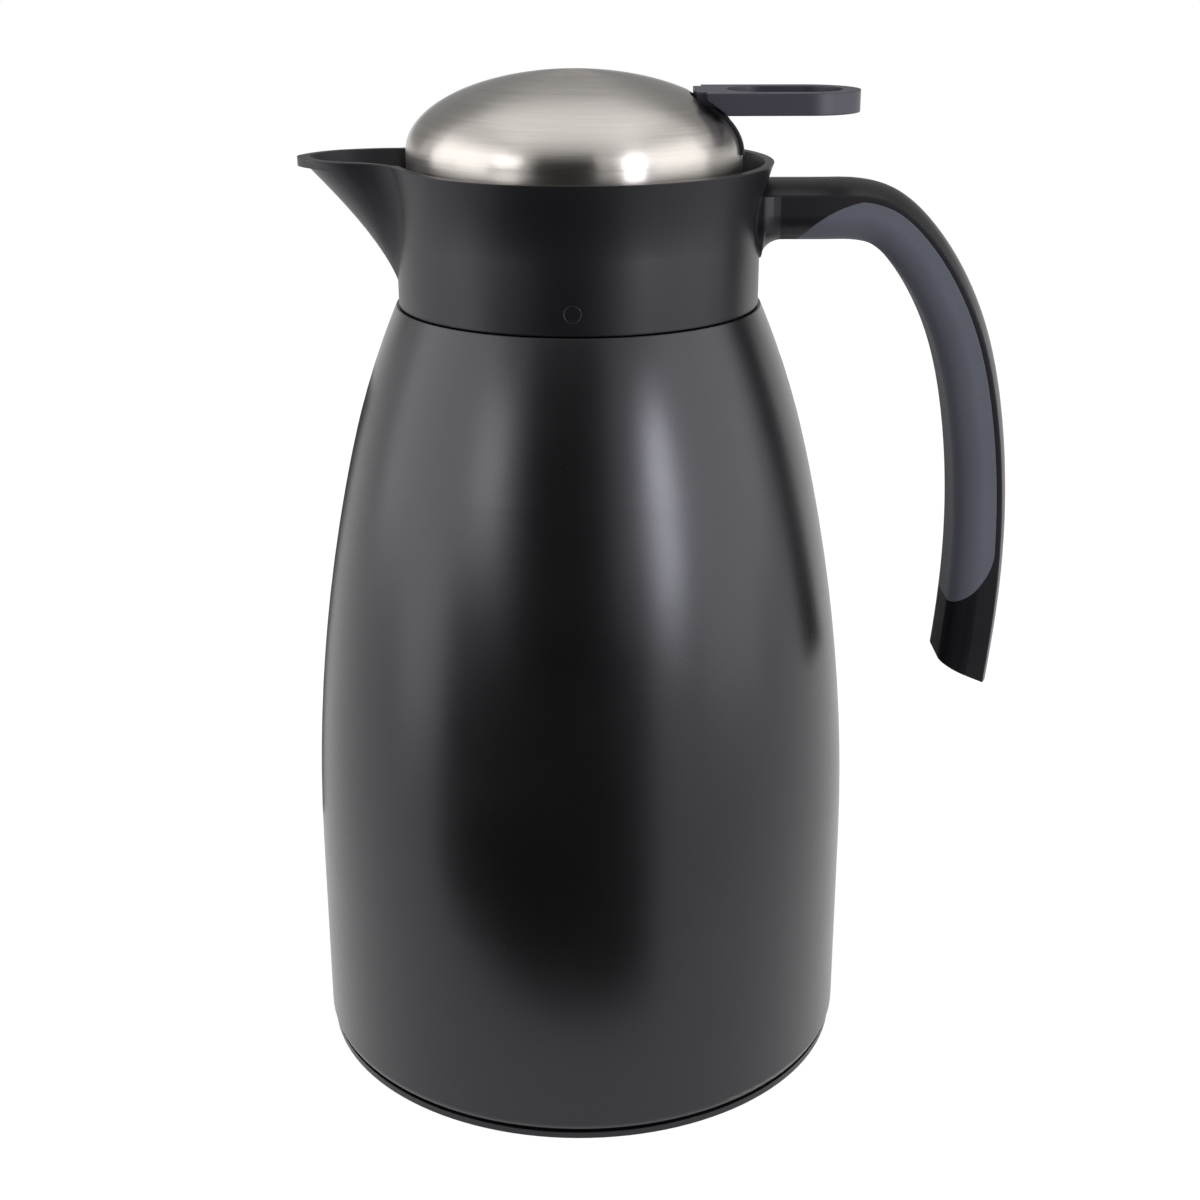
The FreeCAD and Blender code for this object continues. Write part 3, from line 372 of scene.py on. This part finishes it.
@dataclass(frozen=True)
class Steel:
    """Bare steel, brushed round the jug's axis or with an even rolled surface."""

    name: str
    colour: Colour
    stain: Colour
    roughness: float
    grain: Grain = Grain.TURNED
    unevenness: float = 0.04
    anisotropy: float = 0.82
    brushing_turn: float = 0.25
    brushing_wave: float = 0.0007
    streak_depth: float = 0.0000012
    streak_scale: float = 2400.0
    coarse_scale: float = 528.0
    fine_share: float = 0.6
    edge: float = 0.0002

    def material(self) -> bpy.types.Material:
        """The finish as a material, made once."""
        return bpy.data.materials.get(self.name) or self.make()

    def make(self) -> bpy.types.Material:
        """Builds the node tree.

        Returns:
            The new material.
        """
        tree = SurfaceTree(self.name)
        turned = self.grain is Grain.TURNED
        where = tree.turned(self.brushing_wave) if turned else tree.place()
        fine = tree.noise(where, self.streak_scale, detail=3.0)
        coarse = tree.noise(where, self.coarse_scale, detail=2.0)
        streaks = tree.weigh(fine, coarse, self.fine_share)
        tree.dial("Metallic", 1.0)
        tree.dial("Base Color", tree.colours(streaks, self.stain, self.colour))
        tree.roughen(streaks, self.roughness, self.unevenness)
        tree.dial("Normal", tree.bump(streaks, self.streak_depth, tree.edges(self.edge)))
        if turned:
            tree.dial("Anisotropic", self.anisotropy)
            tree.dial("Anisotropic Rotation", self.brushing_turn)
            tree.dial("Tangent", tree.add("ShaderNodeTangent", direction_type="RADIAL", axis="Z").outputs[0])
        return tree.material


PAINT = Finish(
    "black_paint", (0.0032, 0.003, 0.0032), (0.0048, 0.0045, 0.0048), roughness=0.28, unevenness=0.02,
    grain_scale=1500.0, grain_depth=0.000003, ripple_scale=230.0, ripple_depth=0.000003,
)
PLASTIC = Finish(
    "moulded_black", (0.0036, 0.0036, 0.0043), (0.0056, 0.0056, 0.0066), roughness=0.37, unevenness=0.03,
    grain_scale=2600.0, grain_depth=0.000009, ripple_scale=210.0, ripple_depth=0.000004, specular=0.42,
)
COVER = Finish(
    "satin_cover", (0.0035, 0.0033, 0.0036), (0.0055, 0.0052, 0.0056), roughness=0.34, unevenness=0.03,
    grain_scale=2600.0, grain_depth=0.000006, ripple_scale=180.0, ripple_depth=0.000004, specular=0.22,
)
COLLAR = Finish(
    "collar_black", (0.0036, 0.0036, 0.0043), (0.0056, 0.0056, 0.0066), roughness=0.37, unevenness=0.03,
    grain_scale=2600.0, grain_depth=0.000009, ripple_scale=210.0, ripple_depth=0.000004,
    specular=0.38, edge=0.0004,
    marks=(Mark(place=(0.0378, 0.0151, 0.2085), radius=0.0, width=0.0012, depth=-0.0003),),
)
LEVER = Finish(
    "lever_black", (0.021, 0.0195, 0.029), (0.029, 0.027, 0.038), roughness=0.42,
    grain_scale=2400.0, grain_depth=0.000012, ripple_scale=200.0, ripple_depth=0.000004, edge=0.0006,
)
GRIP = Finish(
    "soft_grip", (0.064, 0.068, 0.086), (0.08, 0.084, 0.105), roughness=0.62,
    grain_scale=3000.0, grain_depth=0.000014, ripple_scale=260.0, ripple_depth=0.000004,
    sheen=0.12, specular=0.35,
)
SEAL = Finish("silicone_seal", (0.5, 0.5, 0.48), (0.6, 0.6, 0.58), roughness=0.5)
FOOT = Finish(
    "foot_pad", (0.012, 0.012, 0.012), (0.02, 0.02, 0.02), roughness=0.75, unevenness=0.05,
    grain_scale=1800.0, grain_depth=0.00003,
)
INNER = Finish("inner_moulding", (0.02, 0.02, 0.023), (0.028, 0.028, 0.031), roughness=0.45)
DOME_STEEL = Steel("brushed_steel", (0.47, 0.44, 0.412), (0.38, 0.356, 0.333), roughness=0.3)
PLAIN_STEEL = Steel("rolled_steel", (0.6, 0.6, 0.59), (0.48, 0.48, 0.47), roughness=0.35, grain=Grain.EVEN)


# Pieces

def dress(finish: Finish | Steel, *nodes: str) -> None:
    """Gives carried-over CAD nodes their finish.

    Args:
        finish: The finish.
        nodes: The nodes' names.
    """
    for node in nodes:
        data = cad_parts[node].data
        data.materials.clear()
        data.materials.append(finish.material())
        LOG.info("dressed %s with %s", node, finish.name)


def new_piece(mesh: bpy.types.Mesh, finish: Finish | Steel, body: Body) -> bpy.types.Object:
    """Puts a mesh into the scene as a piece of the jug.

    Args:
        mesh: The mesh, in the frame, which gives the piece its name.
        finish: Its finish.
        body: The body that it rides on.

    Returns:
        The new object.
    """
    piece = bpy.data.objects.new(mesh.name, mesh)
    bpy.context.scene.collection.objects.link(piece)
    mesh.materials.append(finish.material())
    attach(piece, body.value)
    LOG.info("made %s with %d faces", piece.name, len(mesh.polygons))
    return piece


def skin(name: str, rings: list[list[Vector]], closed: bool = False) -> bpy.types.Mesh:
    """Skins a row of rings, with both ends closed, or with the last ring joined to the first.

    Args:
        name: The mesh's name.
        rings: The rings, each with the same number of points in the same order.
        closed: Whether the row runs round to its start.

    Returns:
        The closed mesh.
    """
    form = bmesh.new()
    loops = [[form.verts.new(point) for point in ring] for ring in rings]
    following = loops[1:] + loops[:1] if closed else loops[1:]
    for first, second in zip(loops, following):
        for number in range(len(first)):
            after = (number + 1) % len(first)
            form.faces.new((first[number], first[after], second[after], second[number]))
    if not closed:
        form.faces.new(loops[0])
        form.faces.new(reversed(loops[-1]))
    bmesh.ops.recalc_face_normals(form, faces=form.faces)
    mesh = bpy.data.meshes.new(name)
    form.to_mesh(mesh)
    form.free()
    return mesh


# Sub-assemblies

@dataclass
class Flask:
    """The painted shell, the vessel inside it and the foot."""

    def build(self) -> None:
        """Dresses the flask's pieces."""
        dress(PAINT, "outer_shell")
        dress(PLASTIC, "base_plate")
        dress(FOOT, "base_pad")
        dress(PLAIN_STEEL, "inner_liner", "vacuum_bottom", "getter_cup")


@dataclass
class Collar:
    """The black collar with its spout, the small mould mark on its front, and the pieces that hold it."""

    mark_x: float = -0.0013
    mark_z: float = 0.1869
    mark_radius: float = 0.0018
    mark_width: float = 0.0003
    mark_height: float = 0.00012
    mark_root: float = 0.0001
    mark_steps: int = 48
    outside: float = -1.0

    def build(self) -> None:
        """Dresses the collar and lays the mould mark on it."""
        new_piece(self.mark_mesh(), PLASTIC, Body.FLASK)
        dress(COLLAR, "collar")
        dress(INNER, "neck_ring")
        dress(SEAL, "collar_gasket")

    def mark_mesh(self) -> bpy.types.Mesh:
        """A fine raised ring that follows the collar's face.

        Returns:
            The ring's closed mesh.
        """
        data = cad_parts["collar"].data
        corners = [vertex.co for vertex in data.vertices]
        face = BVHTree.FromPolygons(corners, [list(polygon.vertices) for polygon in data.polygons])
        half = self.mark_width / 2.0
        profile = ((-half, -self.mark_root), (-half, 0.0), (-half / 2.0, self.mark_height),
                   (half / 2.0, self.mark_height), (half, 0.0), (half, -self.mark_root))
        rings = []
        for step in range(self.mark_steps):
            turn = FULL_TURN * step / self.mark_steps
            ring = []
            for offset, height in profile:
                reach = self.mark_radius + offset
                start = Vector((self.mark_x + reach * math.cos(turn), self.outside,
                                self.mark_z + reach * math.sin(turn)))
                point, out, _, _ = face.ray_cast(start, Vector((0.0, 1.0, 0.0)))
                ring.append(point + out * height)
            rings.append(ring)
        return skin("mould_mark", rings, closed=True)


@dataclass
class Handle:
    """The handle's crowned back and its soft grip."""

    def build(self) -> None:
        """Dresses the handle's two skins."""
        dress(COVER, "handle_cover")
        dress(GRIP, "grip_insert")


@dataclass
class Stopper:
    """The plug, its seals and the pouring valve with its return spring."""

    wire: float = 0.0005
    turns: float = 5.0
    turn_steps: int = 36
    wire_sides: int = 12
    valve_travel: float = 0.0059

    def build(self) -> None:
        """Dresses the stopper's pieces and makes the return spring."""
        dress(INNER, "stopper_body", "seat_ring", "valve_disc", "valve_stem", "stem_cap")
        dress(SEAL, "stopper_gasket", "valve_seal", "stem_seal")
        spring = new_piece(self.spring_mesh(), PLAIN_STEEL, Body.STOPPER)
        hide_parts("valve_spring")
        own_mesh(spring)

    def spring_mesh(self) -> bpy.types.Mesh:
        """A coil of round wire round the valve's stem, with closed ends.

        Returns:
            The coil's mesh.
        """
        low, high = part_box("valve_spring")
        radius = (high[0] - low[0]) / 2.0 - self.wire
        foot, head = low[2] + self.wire, high[2] - self.wire
        count = int(self.turns * self.turn_steps)
        climb = (head - foot) / (self.turns * FULL_TURN)
        rings = []
        for step in range(count + 1):
            angle = self.turns * FULL_TURN * step / count
            out = Vector((math.cos(angle), math.sin(angle), 0.0))
            ahead = Vector((-radius * math.sin(angle), radius * math.cos(angle), climb)).normalized()
            up = out.cross(ahead)
            middle = out * radius + Vector((0.0, 0.0, foot + climb * angle))
            ring = []
            for number in range(self.wire_sides):
                side = FULL_TURN * number / self.wire_sides
                ring.append(middle + (out * math.cos(side) + up * math.sin(side)) * self.wire)
            rings.append(ring)
        mesh = skin("return_spring", rings)
        for face in mesh.polygons:
            face.use_smooth = len(face.vertices) == 4
        return mesh


@dataclass
class Lid:
    """The steel dome, its black frame and the thumb lever, with the raised trim along the slot's edges."""

    dome_middle: float = -0.0008
    dome_radius: float = 0.0375
    dome_rise: float = 0.0172
    slot_drop: float = 0.0003
    slot_half: float = 0.0099
    trim_inner_end: float = 0.0287
    trim_gap: float = 0.00012
    trim_width: float = 0.0009
    trim_proud: float = 0.0007
    trim_root: float = 0.0008
    trim_round: float = 0.0002
    trim_cut: float = 0.3
    trim_steps: int = 30
    taper_steps: int = 8

    def build(self) -> None:
        """Dresses the lid's pieces and makes the trim."""
        for side, name in ((-1, "slot_trim_near"), (1, "slot_trim_far")):
            new_piece(self.trim_mesh(name, side), PLASTIC, Body.STOPPER)
        dress(DOME_STEEL, "steel_dome")
        dress(PLASTIC, "lid_frame")
        dress(LEVER, "thumb_lever")
        dress(PLAIN_STEEL, "lever_pin", "lid_screws")

    def trim_line(self, across: float) -> list[tuple[Vector, Vector]]:
        """The slot's edge on the dome's face, from its foot to its upper end.

        Args:
            across: The line's place to the side, along Y.

        Returns:
            Points on the face, each with the way out of it.
        """
        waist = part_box("steel_dome")[1][2] - self.dome_rise
        reach = math.hypot(self.trim_inner_end - self.dome_middle, across)
        last = math.acos(reach / self.dome_radius)
        foot_x = self.dome_middle + math.sqrt(self.dome_radius ** 2 - across ** 2)
        line = [(Vector((foot_x, across, waist - self.slot_drop)), Vector((1.0, 0.0, 0.0)))]
        for step in range(self.trim_steps + 1):
            angle = last * step / self.trim_steps
            along = math.sqrt((self.dome_radius * math.cos(angle)) ** 2 - across ** 2)
            above = self.dome_rise * math.sin(angle)
            out = Vector((along / self.dome_radius ** 2, 0.0, above / self.dome_rise ** 2)).normalized()
            line.append((Vector((self.dome_middle + along, across, waist + above)), out))
        return line

    def trim_profile(self, fade: float) -> list[tuple[float, float]]:
        """The trim's outline across its length, as offsets to the side and heights over the face.

        Args:
            fade: From 0 at the upper end, where the trim runs into the face, to 1 at its full height.

        Returns:
            The outline's points, from one root to the other.
        """
        half = self.trim_width / 2.0
        cut = self.trim_round * self.trim_cut
        top = self.trim_proud * math.sin(fade * math.pi / 2.0) + self.trim_round
        rising = [(-half, -self.trim_root), (-half, top - self.trim_round), (-half + cut, top - cut),
                  (-half + self.trim_round, top)]
        return rising + [(-offset, height) for offset, height in reversed(rising)]

    def trim_mesh(self, name: str, side: int) -> bpy.types.Mesh:
        """A thin rounded rib along one edge of the slot, which fades into the face at its upper end.

        Args:
            name: The mesh's name.
            side: -1 for the near edge, 1 for the far one.

        Returns:
            The rib's closed mesh.
        """
        line = self.trim_line(side * (self.slot_half - self.trim_gap - self.trim_width / 2.0))
        rings = []
        for number, (point, out) in enumerate(line):
            fade = min((len(line) - 1 - number) / self.taper_steps, 1.0)
            rings.append([point + out * height + Vector((0.0, offset, 0.0))
                          for offset, height in self.trim_profile(fade)])
        return skin(name, rings)


# Studio

def add_stage(name: str, corners: list[Point], material: bpy.types.Material) -> bpy.types.Object:
    """Puts a flat face into the scene as part of the stage.

    Args:
        name: The object's name.
        corners: The face's four corners.
        material: Its material.

    Returns:
        The new object.
    """
    mesh = bpy.data.meshes.new(name)
    mesh.from_pydata(corners, [], [(0, 1, 2, 3)])
    mesh.materials.append(material)
    thing = bpy.data.objects.new(name, mesh)
    bpy.context.scene.collection.objects.link(thing)
    return thing


@dataclass(frozen=True)
class Lamp:
    """A soft rectangular lamp, given by the brightness of its face."""

    name: str
    place: Point
    target: Point
    width: float
    height: float
    brightness: float
    colour: Colour = WHITE

    def hang(self) -> None:
        """Puts the lamp into the scene."""
        light = bpy.data.lights.new(self.name, "AREA")
        light.shape = "RECTANGLE"
        light.size, light.size_y = self.width, self.height
        light.energy = self.brightness * math.pi * self.width * self.height
        light.color = self.colour
        lamp = bpy.data.objects.new(self.name, light)
        lamp.location = self.place
        way = Vector(self.target) - Vector(self.place)
        lamp.rotation_euler = way.to_track_quat("-Z", "Y").to_euler()
        bpy.context.scene.collection.objects.link(lamp)


@dataclass(frozen=True)
class Screen:
    """A dark screen that only the jug's gloss shows, as a soft dark patch."""

    name: str
    shade: float
    left: float
    right: float
    foot: tuple[float, float]
    head: tuple[float, float]

    def stand(self) -> None:
        """Puts the screen into the scene, out of sight of the camera and of soft light."""
        material = bpy.data.materials.new(self.name)
        tree = NodeTree(material, "ShaderNodeOutputMaterial")
        tree.show(tree.glow(self.shade))
        corners = [(self.left, *self.foot), (self.right, *self.foot),
                   (self.right, *self.head), (self.left, *self.head)]
        screen = add_stage(self.name, corners, material)
        screen.visible_camera = False
        screen.visible_diffuse = False
        screen.visible_shadow = False


LAMPS = (
    Lamp("left_wall", (-1.5, -0.25, 0.45), (0.0, 0.0, 0.15), 1.7, 1.5, brightness=1.7),
    Lamp("right_wall", (1.4, -0.35, 0.5), (0.0, 0.0, 0.15), 1.3, 1.4, brightness=1.5),
    Lamp("window", (0.72, -0.86, 0.36), (0.0, 0.0, 0.17), 0.24, 0.46, brightness=14.0,
         colour=(0.93, 0.95, 1.0)),
    Lamp("left_window", (-0.78, -0.8, 0.42), (0.0, 0.0, 0.17), 0.3, 0.4, brightness=4.5),
    Lamp("ceiling", (0.0, 0.1, 1.7), (0.0, 0.0, 0.1), 1.8, 1.8, brightness=0.6),
)
SCREENS = (
    Screen("low_screen", 0.01, -0.95, 0.3, foot=(-0.56, -0.8), head=(-0.56, 0.12)),
    Screen("high_screen", 0.01, -0.3, 0.15, foot=(-0.56, 0.12), head=(-0.56, 0.6)),
    # Painted shadow: a dark sheet just behind the jug, seen only in the jug's reflections, that stands in
    # for the jug's shadow on the table there.
    Screen("painted_table_shadow_screen", 0.04, -0.12, 0.075, foot=(0.1, 0.0), head=(0.1, 0.15)),
    Screen("back_screen", 0.36, -1.6, 1.6, foot=(1.3, 0.3), head=(1.0, 1.6)),
)


@dataclass
class Studio:
    """Camera, lamps, pale table and white surroundings."""

    camera_place: Point = (0.0, -0.4244, 0.2642)
    pitch: float = 20.11
    yaw: float = 0.65
    roll: float = -0.08
    lens: float = 55.8
    sensor: float = 36.0
    nearest: float = 0.01
    farthest: float = 20.0
    ambient: float = 0.55
    backdrop: float = 1.0
    table_front: float = -0.118
    table_half: float = 3.0
    table_drop: float = 0.0001
    table_colour: Colour = (0.86, 0.86, 0.86)
    table_glow: float = 1.13
    glow_share: float = 0.8

    def build(self) -> None:
        """Sets up everything around the jug."""
        self.set_camera()
        for lamp in LAMPS:
            lamp.hang()
        self.set_world()
        self.lay_table()
        for screen in SCREENS:
            screen.stand()
        bpy.context.scene.view_settings.view_transform = "Standard"

    def set_camera(self) -> None:
        """Makes the camera at the photograph's angle."""
        data = bpy.data.cameras.new("camera")
        data.lens, data.sensor_width = self.lens, self.sensor
        data.clip_start, data.clip_end = self.nearest, self.farthest
        camera = bpy.data.objects.new("camera", data)
        bpy.context.scene.collection.objects.link(camera)
        pitch, yaw = math.radians(self.pitch), math.radians(self.yaw)
        ahead = Vector((math.cos(pitch) * math.sin(yaw), math.cos(pitch) * math.cos(yaw), -math.sin(pitch)))
        turn = ahead.to_track_quat("-Z", "Y").to_matrix().to_4x4()
        lean = Matrix.Rotation(math.radians(self.roll), 4, "Z")
        camera.matrix_world = Matrix.Translation(self.camera_place) @ turn @ lean
        bpy.context.scene.camera = camera

    def set_world(self) -> None:
        """White for the camera and for reflections, and a soft even light for the rest."""
        world = bpy.data.worlds.new("surroundings")
        bpy.context.scene.world = world
        tree = NodeTree(world, "ShaderNodeOutputWorld")
        tree.show(tree.choose(tree.seen(), tree.sky(self.ambient), tree.sky(self.backdrop)))

    def lay_table(self) -> None:
        """The pale table, which ends a little in front of the jug and is see-through from underneath."""
        material = bpy.data.materials.new("table_top")
        tree = NodeTree(material, "ShaderNodeOutputMaterial")
        matt = tree.add("ShaderNodeBsdfDiffuse", {"Color": (*self.table_colour, 1.0)}).outputs[0]
        share = tree.maths("MULTIPLY", tree.seen(), self.glow_share)
        top = tree.choose(share, matt, tree.glow(self.table_glow))
        under = tree.add("ShaderNodeNewGeometry").outputs["Backfacing"]
        tree.show(tree.choose(under, top, tree.add("ShaderNodeBsdfTransparent").outputs[0]))
        half, low = self.table_half, -self.table_drop
        add_stage("table", [(-half, self.table_front, low), (half, self.table_front, low), (half, half, low),
                            (-half, half, low)], material)


def main() -> None:
    """Builds the studio and the jug's looks, in order."""
    logging.basicConfig(level=logging.INFO, format="%(name)s: %(message)s")
    for part in (Studio(), Flask(), Collar(), Handle(), Stopper(), Lid()):
        part.build()
        LOG.info("%s done", type(part).__name__)


if __name__ == "__main__":
    main()
